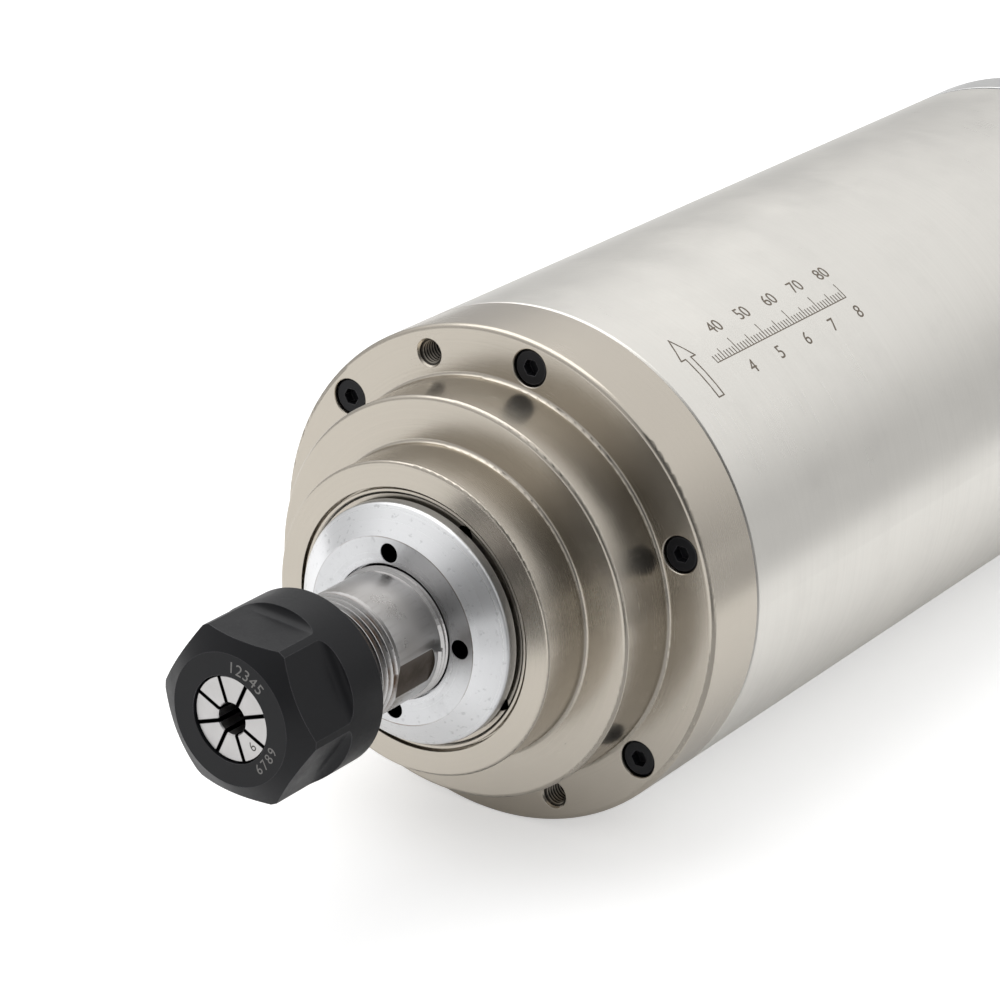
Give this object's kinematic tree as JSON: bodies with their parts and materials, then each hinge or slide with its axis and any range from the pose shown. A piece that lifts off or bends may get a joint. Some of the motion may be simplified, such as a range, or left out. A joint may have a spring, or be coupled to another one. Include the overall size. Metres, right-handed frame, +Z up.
{
  "type": "motor spindle",
  "caption": "Round water-cooled motor spindle: stepped flange, dust cap, ground shaft nose with flats, hexagon collet nut and slotted spring collet.",
  "frame": {"origin": "centre of the flange's front face, on the spindle's axis", "axes": "-Y along the axis out of the nose, +Z up, +X to the right as seen from the front"},
  "size_m": [0.1, 0.3218, 0.1],
  "materials": {
    "satin_steel": "satin",
    "nickel_plate": "satin",
    "black_oxide": "satin",
    "turned_aluminium": "satin",
    "ground_steel": "satin",
    "collet_steel": "satin",
    "bearing_steel": "polished",
    "bearing_cage": "satin",
    "machined_steel": "satin",
    "cast_aluminium": "satin",
    "laminations": "matte",
    "rotor_aluminium": "matte",
    "copper_winding": "satin",
    "seal_rubber": "matte",
    "gasket_fibre": "matte",
    "fitting_brass": "satin",
    "washer_copper": "satin",
    "socket_plating": "satin",
    "socket_insulator": "matte",
    "wire_jacket": "satin"
  },
  "bodies": {
    "housing": {"outer_sleeve": "satin_steel", "front_housing": "nickel_plate", "bearing_cover": "nickel_plate", "front_screws": "black_oxide", "spigot_seal": "seal_rubber", "water_jacket": "cast_aluminium", "jacket_seals": "seal_rubber", "stator_core": "laminations", "stator_windings": "copper_winding", "front_outer_rings": "bearing_steel", "outer_spacer": "machined_steel", "rear_outer_rings": "bearing_steel", "rear_housing": "cast_aluminium", "preload_spring": "machined_steel", "cover_gasket": "gasket_fibre", "rear_cover": "cast_aluminium", "rear_screws": "black_oxide", "nipple_washers": "washer_copper", "water_nipples": "fitting_brass", "socket_shell": "socket_plating", "socket_insert": "socket_insulator", "socket_pins": "fitting_brass", "socket_screws": "socket_plating", "lead_wires": "wire_jacket"},
    "rotor": {"shaft": "ground_steel", "dust_cap": "turned_aluminium", "front_inner_rings": "bearing_steel", "inner_spacer": "machined_steel", "rotor_core": "laminations", "rotor_cage": "rotor_aluminium", "rear_inner_rings": "bearing_steel", "rear_lock_nut": "machined_steel"},
    "front_ball_sets": {"front_cages": "bearing_cage", "front_balls": "bearing_steel"},
    "rear_ball_sets": {"rear_cages": "bearing_cage", "rear_balls": "bearing_steel"},
    "collet": {"collet": "collet_steel"},
    "nut": {"collet_nut": "black_oxide"}
  },
  "joints": [
    {"name": "rotor_spin", "type": "hinge", "parent": "housing", "child": "rotor", "pos_m": [0, 0, 0], "axis": [0, -1, 0], "continuous": true},
    {"name": "front_cage_spin", "type": "hinge", "parent": "housing", "child": "front_ball_sets", "pos_m": [0, -0.0125, 0], "axis": [0, -1, 0], "continuous": true},
    {"name": "rear_cage_spin", "type": "hinge", "parent": "housing", "child": "rear_ball_sets", "pos_m": [0, 0.184, 0], "axis": [0, -1, 0], "continuous": true},
    {"name": "collet_travel", "type": "slide", "parent": "rotor", "child": "collet", "axis": [0, -1, 0], "range_m": [0, 0.009]},
    {"name": "nut_turn", "type": "hinge", "parent": "collet", "child": "nut", "pos_m": [0, -0.0678, 0], "axis": [0, -1, 0], "range_deg": [0, 2161]}
  ],
  "couplings": [
    {"joint": "nut_turn", "follows": "collet_travel", "rad_per_m": 4188.8},
    {"joint": "front_cage_spin", "follows": "rotor_spin", "ratio": 0.431},
    {"joint": "rear_cage_spin", "follows": "rotor_spin", "ratio": 0.403}
  ]
}
